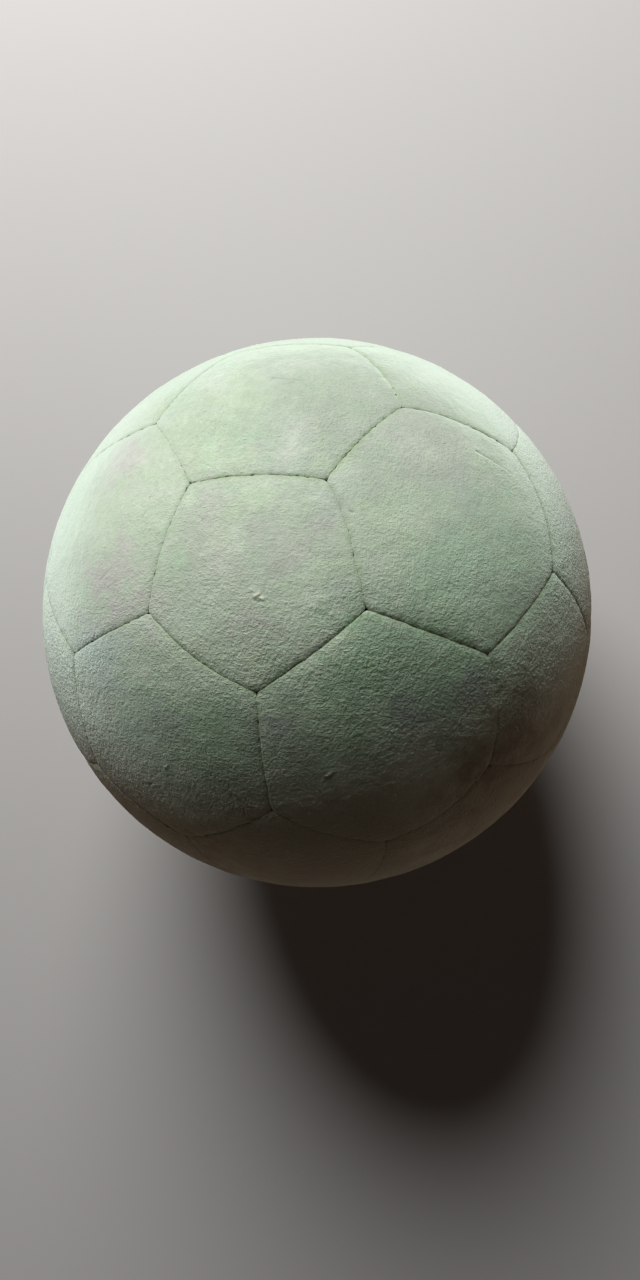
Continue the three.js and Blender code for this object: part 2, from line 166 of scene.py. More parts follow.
# How far a seam bows from a great circle: at its middle, and its lean to one end, in
# millimetres. A pentagon's side is named by the pentagon and the two beyond it, and bows
# outwards where the number is negative. A seam between two hexagons is named by the
# pentagons that it joins.
SEAM_BOW = {
    ("top", "upper_4", "upper_5"): (-1.2, 0.0),
    ("top", "upper_3", "upper_4"): (-1.0, 0.0),
    ("top", "upper_5", "upper_1"): (-2.0, 0.0),
    ("top", "upper_1", "upper_2"): (-0.7, 0.1),
    ("top", "upper_2", "upper_3"): (-1.2, 0.45),
    ("upper_3", "top", "upper_2"): (0.9, 0.2),
    ("upper_3", "top", "upper_4"): (0.9, 0.0),
    ("upper_2", "top", "upper_3"): (0.1, 0.0),
    ("upper_2", "upper_3", "lower_4"): (-0.8, 0.0),
    ("upper_1", "top", "upper_5"): (0.5, 0.0),
    ("upper_1", "top", "upper_2"): (1.0, 0.0),
    ("upper_2", "top", "upper_1"): (2.0, 0.0),
    ("upper_1", "upper_2"): (-2.8, 0.0),
    ("upper_2", "upper_3"): (-2.8, 0.0),
    ("top", "upper_4"): (-1.0, 0.0),
    ("top", "upper_5"): (0.1, 0.0),
    ("top", "upper_2"): (-0.1, 0.0),
    ("top", "upper_1"): (-0.2, 0.0),
    ("top", "upper_3"): (1.0, 0.0),
}

# How deep a seam lies, as a multiple of the common depth. Seams are named as above.
SEAM_STRENGTH = {
    ("top", "upper_1", "upper_2"): 1.9,
    ("top", "upper_2"): 2.0,
    ("top", "upper_3", "upper_4"): 1.45,
    ("top", "upper_3"): 1.35,
    ("top", "upper_5", "upper_1"): 1.1,
    ("top", "upper_5"): 1.05,
    ("top", "upper_2", "upper_3"): 0.8,
    ("top", "upper_4", "upper_5"): 0.65,
    ("top", "upper_4"): 0.45,
    ("top", "upper_1"): 1.2,
    ("upper_3", "top", "upper_2"): 1.35,
    ("upper_2", "top", "upper_3"): 1.15,
    ("upper_2", "top", "upper_1"): 0.85,
    ("upper_2", "upper_3"): 0.8,
    ("upper_5", "top", "upper_1"): 0.62,
    ("upper_1", "top", "upper_5"): 0.9,
    ("upper_1", "top", "upper_2"): 0.62,
}
STRENGTH_REACH = 19.0  # from the middle of a seam

# How deep the pit is where three seams meet, in millimetres. The others are picked at random.
CORNER_PIT = {
    ("top", "upper_1"): 0.50,
    ("top", "upper_3"): 0.40,
    ("upper_2", "top"): 0.35,
    ("top", "upper_2"): 0.20,
    ("top", "upper_4"): 0.12,
    ("top", "upper_5"): 0.12,
    ("upper_3", "top"): 0.08,
    ("upper_3", "upper_2"): 0.25,
    ("upper_5", "top"): 0.12,
}
PIT_REACH = 1.5

# How the corners, bows, depths and pits that the photograph doesn't show are spread: the middle
# and the deviation, and for the pits the least and the most
STRAY_SPREAD = (0, 0.35)
LONG_SEAM_BOW = (0, 0.3)
LONG_SEAM_LEAN = (0, 0.15)
SIDE_BOW = (-0.9, 0.35)
SIDE_LEAN = (0, 0.2)
STRENGTH_SPREAD = (0.95, 0.15)
PIT_SPREAD = (0.05, 0.35)

rng = np.random.default_rng(386)


def ideal_corner(key):
    return unit(2 * PENTAGONS[key[0]] + PENTAGONS[key[1]])


def make_corners():
    sewn, shown = {}, {}
    for a in NAMES:
        for b in NAMES:
            if are_neighbours(a, b):
                ideal = ideal_corner((a, b))
                stray = rng.normal(*STRAY_SPREAD, 3)
                stray -= ideal * (stray @ ideal)
                stray = np.array(CORNER_STRAY.get((a, b), stray))
                sewn[a, b] = ideal
                shown[a, b] = unit(ideal + stray / BALL_RADIUS)
    return sewn, shown


SEWN_CORNERS, SHOWN_CORNERS = make_corners()


def rank(key):
    """A corner's place in the order of the pentagons."""
    return NAMES.index(key[0]), NAMES.index(key[1])


def seam_name(key_a, key_b):
    """A seam's name, and the direction towards which its bow counts as positive."""
    if key_a[0] == key_b[0]:
        pentagon = key_a[0]
        others = sorted((key_a[1], key_b[1]), key=NAMES.index)
        return (pentagon, *others), PENTAGONS[pentagon]
    first, last = sorted((key_a[0], key_b[0]), key=NAMES.index)
    return (first, last), np.cross(PENTAGONS[first], PENTAGONS[last])


def in_order(table):
    """The table with its seams named in the order of the pentagons."""
    return {(name[0], *sorted(name[1:], key=NAMES.index)): value for name, value in table.items()}


def make_bows():
    found = {}
    for a in NAMES:
        for b in NAMES:
            if not are_neighbours(a, b):
                continue
            if NAMES.index(a) < NAMES.index(b):
                found[a, b] = (rng.normal(*LONG_SEAM_BOW), rng.normal(*LONG_SEAM_LEAN))
            for c in NAMES[NAMES.index(b) + 1:]:
                if are_neighbours(a, c) and are_neighbours(b, c):
                    found[a, b, c] = (rng.normal(*SIDE_BOW), rng.normal(*SIDE_LEAN))
    found.update(in_order(SEAM_BOW))
    return found


BOWS = make_bows()


def make_strengths():
    """The middle of each seam and how much deeper it lies than the others."""
    given = in_order(SEAM_STRENGTH)
    places, extra = [], []
    for name in BOWS:
        ends = [(name[0], name[1]), (name[0], name[2]) if len(name) == 3 else (name[1], name[0])]
        places.append(unit(sum(SHOWN_CORNERS[end] for end in ends)) * BALL_RADIUS)
        extra.append(given.get(name, rng.normal(*STRENGTH_SPREAD)) - 1)
    return np.array(places), np.array(extra)


def make_pits():
    places = np.array([SHOWN_CORNERS[key] for key in SHOWN_CORNERS]) * BALL_RADIUS
    depths = np.array([CORNER_PIT.get(key, rng.uniform(*PIT_SPREAD)) for key in SHOWN_CORNERS])
    return places, depths


STRENGTH_PLACES, STRENGTH_EXTRA = make_strengths()
PIT_PLACES, PIT_DEPTHS = make_pits()

# How far from a panel's middle a pit or a seam's middle still counts for the panel
PIT_SEARCH = 60
STRENGTH_SEARCH = 70


def corner_pits(panel, points):
    """How far the panel sinks near the corners where seams meet."""
    close = np.linalg.norm(PIT_PLACES - panel.middle * BALL_RADIUS, axis=1) < PIT_SEARCH
    total = np.zeros(len(points))
    for place, depth in zip(PIT_PLACES[close], PIT_DEPTHS[close]):
        total += depth * np.exp(-np.linalg.norm(points - place, axis=1) / PIT_REACH)
    return total


def seam_strength(panel, points):
    """How deep the seams lie near these points, as a multiple of the common depth."""
    away = np.linalg.norm(STRENGTH_PLACES - panel.middle * BALL_RADIUS, axis=1)
    close = away < STRENGTH_SEARCH
    total = np.ones(len(points))
    for place, extra in zip(STRENGTH_PLACES[close], STRENGTH_EXTRA[close]):
        away = ((points - place) ** 2).sum(1) / STRENGTH_REACH ** 2
        total += extra * np.exp(-away * away)
    return total


FIRST_SEED = 100


class Panel:
    """A panel's place on the ball: its middle, corners and sides."""

    def __init__(self, name, middle, keys):
        self.name = name
        self.seed = FIRST_SEED + sum(NAMES.index(a) * len(NAMES) + NAMES.index(b) for a, b in keys)
        self.middle = middle
        self.across = unit(ideal_corner(keys[0]) - middle * (middle @ ideal_corner(keys[0])))
        self.along = np.cross(middle, self.across)
        self.keys = [keys[0], *sorted(keys[1:], key=self.turn_of)]
        self.sewn = self.sides(SEWN_CORNERS, False)
        self.shown = self.sides(SHOWN_CORNERS, True)

    def turn_of(self, key):
        """The angle of a corner round the panel's middle."""
        corner = ideal_corner(key)
        return math.atan2(corner @ self.along, corner @ self.across) % (2 * math.pi)

    def sides(self, corners, bowed):
        """Each side's start, end and normal, and how far its middle bows and leans."""
        found = []
        for key, after in zip(self.keys, self.keys[1:] + self.keys[:1]):
            start, end = corners[key], corners[after]
            normal = unit(np.cross(start, end))
            name, positive = seam_name(key, after)
            middle, lean = BOWS[name] if bowed else (0.0, 0.0)
            if positive @ normal < 0:
                middle, lean = -middle, -lean
            if rank(key) > rank(after):
                lean = -lean
            found.append((start, end, normal, middle, lean))
        return found


def setbacks(sides, directions, rounding):
    """How far each direction lies inside the panel's outline, with its corners rounded, which
    side is its nearest, and how far along that side it is."""
    distances, shares = [], []
    for start, end, normal, middle, lean in sides:
        arc = math.acos(float(start @ end))
        forwards = np.cross(normal, start)
        share = np.arctan2(directions @ forwards, directions @ start) / arc
        share = np.clip(share, 0, 1)
        bow = middle * np.sin(math.pi * share) + lean * np.sin(2 * math.pi * share)
        distances.append(BALL_RADIUS * np.arcsin(np.clip(directions @ normal, -1, 1)) - bow)
        shares.append(share)
    distances, shares = np.array(distances), np.array(shares)
    nearest = distances.argmin(0)
    plain = distances.min(0)
    short = np.maximum(rounding - distances, 0)
    rounded = rounding - np.sqrt((short ** 2).sum(0))
    picked = np.arange(len(directions))
    return np.where(plain < rounding, rounded, plain), nearest, shares[nearest, picked]


def direction_of(panel, turn, lean):
    """The direction at an angle round the panel's middle and an angle away from it."""
    flat = np.cos(turn)[:, None] * panel.across + np.sin(turn)[:, None] * panel.along
    return np.cos(lean)[:, None] * panel.middle + np.sin(lean)[:, None] * flat


TABLE_SIZE = 1500  # angles in a panel's table of leans
TABLE_PASSES = 8
FIRST_LEAN = 0.33


def reach(panel, sides, setback, rounding):
    """For each angle round the panel's middle, the lean at which the setback is left."""
    turn = np.linspace(-math.pi, math.pi, TABLE_SIZE + 1)
    lean = np.full(len(turn), FIRST_LEAN)
    for _ in range(TABLE_PASSES):
        left, _, _ = setbacks(sides, direction_of(panel, turn, lean), rounding)
        lean = lean + (left - setback) / BALL_RADIUS
    return turn, lean


# Noise

GRADIENTS = unit(np.array([
    (1, 1, 0), (-1, 1, 0), (1, -1, 0), (-1, -1, 0), (1, 0, 1), (-1, 0, 1), (1, 0, -1), (-1, 0, -1),
    (0, 1, 1), (0, -1, 1), (0, 1, -1), (0, -1, -1), (1, 1, 0), (0, -1, 1), (-1, 1, 0), (0, -1, -1),
], float)).astype(np.float32)


def scramble(cell, seed):
    """Bits for each cell of space that look random and are the same on every run."""
    h = cell[:, 0] * 374761393 + cell[:, 1] * 668265263 + cell[:, 2] * 2147483647
    h = (h + seed * 144665) & 0xFFFFFFFF
    h = ((h ^ (h >> 13)) * 1274126177) & 0xFFFFFFFF
    return h ^ (h >> 16)


def noise(points, wavelength, seed):
    """Smooth noise of about -1 to 1 in space. Points and wavelength are in millimetres, and
    each seed gives another pattern."""
    q = points / wavelength
    cell = np.floor(q).astype(np.int64)
    part = (q - cell).astype(np.float32)
    fade = part * part * part * (part * (part * 6 - 15) + 10)
    total = np.zeros(len(points), np.float32)
    for corner in itertools.product((0, 1), repeat=3):
        h = scramble(cell + corner, seed) & 15
        offset = part - np.array(corner, np.float32)
        value = (GRADIENTS[h] * offset).sum(1)
        weight = np.ones(len(points), np.float32)
        for axis, side in enumerate(corner):
            weight *= fade[:, axis] if side else 1 - fade[:, axis]
        total += weight * value
    return total * 1.6


def waved(start, points, *waves):
    """The start with waves of noise added to it."""
    total = start
    for strength, wavelength, seed in waves:
        total = total + strength * noise(points, wavelength, seed)
    return total


SUNK_SHARE = 0.22  # of the tufts
LONG_TUFTS = (1.20, 0.95, 0.40)  # spacing, half length and half width of a tuft
SHORT_TUFTS = (0.80, 0.62, 0.36)


def tufts(flat, spacing, length, width, seed):
    """Short clumps of matted fibre that lie in all directions, most raised and some sunk.
    The points are flat ones on one panel, in millimetres."""
    home = np.floor(flat / spacing).astype(np.int64)
    total = np.zeros(len(flat), np.float32)
    for step in itertools.product((-1, 0, 1), repeat=2):
        cell = home + step
        bits = scramble(np.column_stack([cell, cell.sum(1) * 7]), seed)
        place = (cell + np.column_stack([bits & 255, bits >> 8 & 255]) / 255) * spacing
        offset = (flat - place).astype(np.float32)
        turn = (bits >> 16 & 255).astype(np.float32) * (math.pi / 256)
        cosine, sine = np.cos(turn), np.sin(turn)
        along = offset[:, 0] * cosine + offset[:, 1] * sine
        across = offset[:, 1] * cosine - offset[:, 0] * sine
        share = (bits >> 24 & 255) / 255
        lift = np.where(share < SUNK_SHARE, -0.7, 0.3 + 0.7 * share)
        total += lift * np.maximum(1 - (along / length) ** 2 - (across / width) ** 2, 0) ** 2
    return total


# Where the nap is worn flatter or stands rougher: direction, reach in millimetres, share of
# the common relief there
NAP_AREAS = [
    ((0.62, 0.45, 0.64), 52, 0.50),
    ((0.55, 0.05, 0.83), 44, 0.60),
    ((0.05, 0.12, 0.99), 46, 0.46),
    ((-0.55, 0.22, 0.80), 50, 0.45),
    ((0.00, 0.80, 0.55), 50, 0.80),
    ((0.15, -0.45, 0.88), 44, 1.0),
    ((0.45, -0.15, 0.88), 34, 1.20),
    ((-0.05, -0.22, 0.97), 22, 1.22),
    ((0.15, -0.45, 0.88), 34, 0.90),
    ((-0.35, -0.40, 0.85), 34, 0.88),
    ((0.90, 0.40, 0.15), 50, 0.55),
    ((-0.30, -0.80, -0.40), 50, 0.60),
]

# Small marks on the felt: where each starts and ends, its half width in millimetres, how far it
# rises or sinks there, and the same at its end
MARKS = [
    ((0.011, -0.069, 0.998), (0.021, -0.063, 0.998), 0.56, 0.38, 0.28),
    ((0.028, -0.074, 0.996), (0.036, -0.078, 0.996), 0.48, 0.34, 0.20),
    ((-0.004, -0.050, 0.999), (0.008, -0.056, 0.998), 0.42, 0.20, 0.14),
    ((0.010, -0.081, 0.997), (0.024, -0.086, 0.996), 0.40, -0.22, -0.16),
    ((0.621, 0.418, 0.663), (0.678, 0.392, 0.623), 0.36, -0.34, -0.18),
    ((0.678, 0.392, 0.623), (0.755, 0.345, 0.557), 0.40, -0.16, -0.04),
    ((-0.006, 0.652, 0.758), (0.099, 0.633, 0.768), 0.48, -0.19, -0.13),
    ((0.317, 0.422, 0.849), (0.325, 0.430, 0.842), 0.38, -0.24, -0.18),
    ((0.183, -0.580, 0.794), (0.203, -0.569, 0.797), 0.42, 0.30, 0.22),
    ((-0.408, -0.619, 0.671), (-0.383, -0.609, 0.695), 0.46, -0.26, -0.12),
    ((-0.326, -0.563, 0.759), (-0.313, -0.553, 0.772), 0.36, 0.20, 0.16),
    ((-0.364, 0.189, 0.912), (-0.347, 0.212, 0.914), 0.42, -0.20, -0.10),
    ((-0.511, 0.008, 0.860), (-0.467, 0.044, 0.883), 0.50, -0.13, -0.09),
    ((0.274, 0.181, 0.946), (0.284, 0.176, 0.943), 0.42, -0.26, -0.22),
    ((-0.55, -0.70, -0.45), (-0.49, -0.76, -0.42), 0.50, -0.30, -0.10),
    ((0.30, 0.90, 0.33), (0.24, 0.93, 0.29), 0.45, -0.30, -0.12),
    ((-0.70, 0.62, -0.33), (-0.695, 0.63, -0.345), 0.70, 0.50, 0.35),
]


def nap_relief(points, flat, seed):
    """The matted nap's height in millimetres at points round the ball's centre, whose places
    on the panel are flat, its strength, and the height of the small marks."""
    moved = points + NAP_SHIFT
    strength = waved(1.0, moved, *STRENGTH_WAVES)
    for direction, size, left in NAP_AREAS:
        away = np.linalg.norm(points - unit(direction) * BALL_RADIUS, axis=1) / size
        strength *= 1 - (1 - left) * np.clip(1 - away ** 2, 0, 1)
    long_ones = tufts(flat, *LONG_TUFTS, seed)
    short_ones = tufts(flat, *SHORT_TUFTS, seed + 40)
    matted = waved(TUFT_HEIGHT * long_ones + TUFT_HEIGHT * short_ones, moved, *NAP_WAVES)
    uneven = waved(0.0, moved, *UNEVEN_WAVES)
    marks = np.zeros(len(points))
    for start, end, width, first, last in MARKS:
        start, end = unit(start) * BALL_RADIUS, unit(end) * BALL_RADIUS
        run = end - start
        share = np.clip((points - start) @ run / (run @ run), 0, 1)
        away = np.linalg.norm(points - start - share[:, None] * run, axis=1) / width
        marks += (first + (last - first) * share) * np.exp(-away ** 2)
    return strength * matted + uneven - NAP_SINK, strength, marks


# Closed surfaces made of rings of points

def strip(count_a, count_b, start_a, start_b):
    """Triangles between two rings, the first ring being the inner one."""
    triangles = []
    i = j = 0
    while i < count_a or j < count_b:
        next_a = 2 if count_a == 1 else (i + 1) / count_a
        next_b = 2 if count_b == 1 else (j + 1) / count_b
        if min(next_a, next_b) > 1:
            break
        from_a, from_b = start_a + i % count_a, start_b + j % count_b
        if next_b <= next_a:
            j += 1
            triangles.append((from_a, from_b, start_b + j % count_b))
        else:
            i += 1
            triangles.append((from_a, from_b, start_a + i % count_a))
    return triangles


@functools.cache
def faces_through(counts, loops):
    """All triangles through rings of these counts, and on to the first ring where it loops."""
    starts = np.cumsum((0, *counts[:-1]))
    faces = []
    for n in range(len(counts) if loops else len(counts) - 1):
        m = (n + 1) % len(counts)
        faces += strip(counts[n], counts[m], int(starts[n]), int(starts[m]))
    return np.array(faces, np.int32)


# A ring of points: the angle of each round the panel's middle and away from it, how far the
# ring lies under the ball's surface, and the share of the nap that it has
Ring = collections.namedtuple("Ring", "turns leans drop nap")


def side_turns(panel, steps):
    """Angles round the panel's middle of points evenly spaced along its sides."""
    if not steps:
        return np.zeros(1)
    points = []
    for start, end, *_ in panel.shown:
        share = np.arange(steps)[:, None] / steps
        points.append(start * (1 - share) + end * share)
    points = np.concatenate(points)
    return np.arctan2(points @ panel.along, points @ panel.across)


def even_ring(panel, steps, start, edge, share, drop, nap):
    """A ring at a share of the way from the middle, or from the hole, to the edge."""
    turns = side_turns(panel, steps)
    outer = np.interp(turns, *edge)
    return Ring(turns, start + (outer - start) * share, drop, nap)


def leans_at(panel, turns, setback, sewn=False):
    """The leans that leave a setback to the shown outline of the panel, or to the sewn one."""
    sides, rounding = (panel.sewn, SEWN_ROUNDING) if sewn else (panel.shown, CORNER_ROUNDING)
    return np.interp(turns, *reach(panel, sides, setback, rounding))


def crown_rings(panel, hole_radius):
    """Rings of the felt that shows, from the middle or the hole to the end of the fold."""
    rings = []
    first = HOLE_STEPS if hole_radius else 0
    start = math.asin(hole_radius / BALL_RADIUS)
    if hole_radius:
        turns = side_turns(panel, first)
        for degrees in HOLE_TURNS:
            turn = math.radians(degrees)
            leans = np.full(len(turns), start + HOLE_ROUNDING * (1 - math.sin(turn)) / BALL_RADIUS)
            rings.append(Ring(turns, leans, HOLE_ROUNDING * (1 - math.cos(turn)), HOLE_NAP))
        start += HOLE_ROUNDING / BALL_RADIUS
    edge = reach(panel, panel.shown, EDGE_SETBACK, CORNER_ROUNDING)
    for i in range(first, STEPS + 1):
        share = (i - first) / (STEPS - first)
        rings.append(even_ring(panel, i, start, edge, share, 0.0, 1.0))
    turns = side_turns(panel, STEPS)
    for share in EDGE_SHARES:
        setback = EDGE_SETBACK * (1 - share) + (SHOWN_HALF_GAP + FOLD_RADIUS) * share
        rings.append(Ring(turns, leans_at(panel, turns, setback), 0.0, 1.0))
    for degrees in FOLD_TURNS:
        turn = math.radians(degrees)
        leans = leans_at(panel, turns, SHOWN_HALF_GAP + FOLD_RADIUS * (1 - math.sin(turn)))
        rings.append(Ring(turns, leans, FOLD_RADIUS * (1 - math.cos(turn)), math.cos(turn)))
    return rings


def hidden_rings(panel, hole_radius):
    """Rings from the fold down to the sewn line, round the thread's channel, along the
    turned-in edge and back over the lining."""
    rings = []
    turns = side_turns(panel, STEPS)
    shown_wall = leans_at(panel, turns, SHOWN_HALF_GAP)
    sewn_wall = leans_at(panel, turns, HALF_GAP, sewn=True)
    for depth, share in UNDER_FOLD:
        rings.append(Ring(turns, shown_wall * (1 - share) + sewn_wall * share, depth, 0.0))
    turns = side_turns(panel, DEEP_STEPS)
    channel_depth = CHANNEL_REACH - HALF_GAP
    turned_edge = HALF_GAP + TURNED_EDGE_THICKNESS
    for depth, setback in (
        (THREAD_DEPTH - channel_depth, HALF_GAP),
        (THREAD_DEPTH, CHANNEL_REACH),
        (THREAD_DEPTH + channel_depth, HALF_GAP),
        (TURNED_EDGE_DEPTH, HALF_GAP),
        (TURNED_EDGE_DEPTH, turned_edge),
        (LINING_DEPTH, turned_edge),
    ):
        rings.append(Ring(turns, leans_at(panel, turns, setback, sewn=True), depth, 0.0))
    edge = reach(panel, panel.sewn, turned_edge, SEWN_ROUNDING)
    first = max(1, round(LINING_STEPS * HOLE_STEPS / STEPS)) if hole_radius else 0
    start = math.asin(hole_radius / BALL_RADIUS)
    for i in range(LINING_STEPS - 1, first - 1, -1):
        steps = HOLE_STEPS if hole_radius and i == first else i
        share = (i - first) / (LINING_STEPS - first)
        rings.append(even_ring(panel, steps, start, edge, share, LINING_DEPTH, 0.0))
    return rings


def stitch_wave(panel, side, share):
    """How a stitch pulls at a share of the way along a side, from -1 to 1."""
    lengths = [math.acos(float(start @ end)) * BALL_RADIUS for start, end, *_ in panel.shown]
    lengths = np.array(lengths)
    along = share * lengths[side]
    return np.cos(2 * math.pi * (along - lengths[side] / 2) / STITCH_LENGTH)


def seam_drop(panel, sphere, inside, strength):
    """How far the felt lies under the ball's surface near the panel's edge and corners."""
    dip = DIP_DROP * np.clip(waved(1.0, sphere, *DIP_WAVES), *DIP_RANGE)
    drop = PUFF_DROP * strength * np.exp(-inside / PUFF_REACH)
    drop += dip * strength ** DIP_SHARE * np.exp(-inside / DIP_REACH) + corner_pits(panel, sphere)
    return drop


def seam_waver(sphere, directions):
    """The seams' sideways waver, along the ball's surface."""
    moves = []
    for axis in range(3):
        waves = [(most, wavelength, seed + axis) for most, wavelength, seed in WIGGLES]
        moves.append(waved(0.0, sphere, *waves))
    moves = np.stack(moves, 1)
    moves -= directions * (moves * directions).sum(1)[:, None]
    return moves


def frayed(panel, sphere, inside):
    """How far the nap draws back from the seam, differently on each of its two panels."""
    drawn = np.clip(waved(0.0, sphere + PANEL_SHIFT * panel.middle, FRAY_WAVE), 0, 1) ** 2
    return FRAY * np.exp(-inside / FRAY_REACH) * drawn


def laid_flat(panel, directions):
    """Where directions lie on the panel when it is laid flat, in millimetres."""
    turns = np.arctan2(directions @ panel.along, directions @ panel.across)
    leans = np.arccos(np.clip(directions @ panel.middle, -1, 1)) * BALL_RADIUS
    return leans[:, None] * np.column_stack([np.cos(turns), np.sin(turns)])


def soil_and_shade_at(inside, strength):
    """Share of the felt's colour near a seam that is soil and painted shade, more where the seam lies
    deeper.
    """
    near = np.clip(1 - inside / SOIL_AND_SHADE_REACH, 0, 1)
    return near * near * (3 - 2 * near) * np.clip(SEAM_SOIL_AND_SHADE * strength, *SOIL_AND_SHADE_RANGE)


def panel_mesh(panel, hole_radius=0.0):
    """A panel's points and triangles, and what its material needs to know at each point."""
    crown = crown_rings(panel, hole_radius)
    rings = crown + hidden_rings(panel, hole_radius)
    counts = tuple(len(ring.turns) for ring in rings)
    directions = np.concatenate([direction_of(panel, ring.turns, ring.leans) for ring in rings])
    drop = np.repeat([ring.drop for ring in rings], counts)
    nap_share = np.repeat([ring.nap for ring in rings], counts)
    is_crown = np.arange(len(directions)) < sum(counts[:len(crown)])
    sphere = directions * BALL_RADIUS
    setback, side, share = setbacks(panel.shown, directions, CORNER_ROUNDING)
    inside = np.maximum(setback, 0)
    near_seam = np.exp(-inside / WIGGLE_REACH)

    # Height over the ball's surface
    seam_depth = seam_strength(panel, sphere)
    sunk = seam_drop(panel, sphere, inside, seam_depth)
    sunk *= 1 + STITCH_PULL * stitch_wave(panel, side, share) * near_seam
    relief, strength, marks = nap_relief(sphere, laid_flat(panel, directions), panel.seed)
    nap_left = np.clip(setback / EDGE_NAP_REACH, EDGE_NAP, 1.0) * nap_share
    height = np.where(is_crown, relief * nap_left + marks - sunk, 0.0) - drop

    # Place along the ball's surface
    inwards = np.array([normal for _, _, normal, _, _ in panel.shown])[side]
    moved = sphere + seam_waver(sphere, directions) * (near_seam * is_crown)[:, None]
    moved = moved + inwards * (frayed(panel, sphere, inside) * is_crown)[:, None]
    points = unit(moved) * (BALL_RADIUS + height)[:, None] + BALL_CENTRE

    values = {
        "seam_soil_and_shade": soil_and_shade_at(inside, seam_depth),
        "nap_height": relief,
        "nap_strength": strength,
        "mark": marks,
    }
    values = {key: np.where(is_crown, value, 0.0) for key, value in values.items()}
    return points, faces_through(counts, bool(hole_radius)), values


def press_flat(points):
    """Keeps the felt above the ground, where the ball's weight presses it flat."""
    z = points[:, 2]
    points[:, 2] = 0.5 * (z + np.sqrt(z * z + PRESSED_ROUNDING ** 2))
    return points


def make_object(name, points, faces, values):
    mesh = bpy.data.meshes.new(name)
    mesh.vertices.add(len(points))
    mesh.vertices.foreach_set("co", (points * METRE).astype(np.float32).ravel())
    mesh.loops.add(faces.size)
    mesh.loops.foreach_set("vertex_index", faces.astype(np.int32).ravel())
    mesh.polygons.add(len(faces))
    mesh.polygons.foreach_set("loop_start", np.arange(0, faces.size, 3, dtype=np.int32))
    mesh.update(calc_edges=True)
    mesh.shade_smooth()
    for key, value in values.items():
        layer = mesh.attributes.new(key, "FLOAT", "POINT")
        layer.data.foreach_set("value", value.astype(np.float32))
    made = bpy.data.objects.new(name, mesh)
    bpy.context.scene.collection.objects.link(made)
    return made


# Materials

def add_node(tree, kind, **settings):
    node = tree.nodes.new(kind)
    for key, value in settings.items():
        setattr(node, key, value)
    return node


def seeing_rays(tree):
    """1 for rays that show a thing to the camera, straight, reflected or through glass."""
    rays = add_node(tree, "ShaderNodeLightPath")
    seen = rays.outputs["Is Camera Ray"]
    for name in ("Is Glossy Ray", "Is Transmission Ray"):
        either = add_node(tree, "ShaderNodeMath", operation="MAXIMUM")
        tree.links.new(seen, either.inputs[0])
        tree.links.new(rays.outputs[name], either.inputs[1])
        seen = either.outputs[0]
    return seen


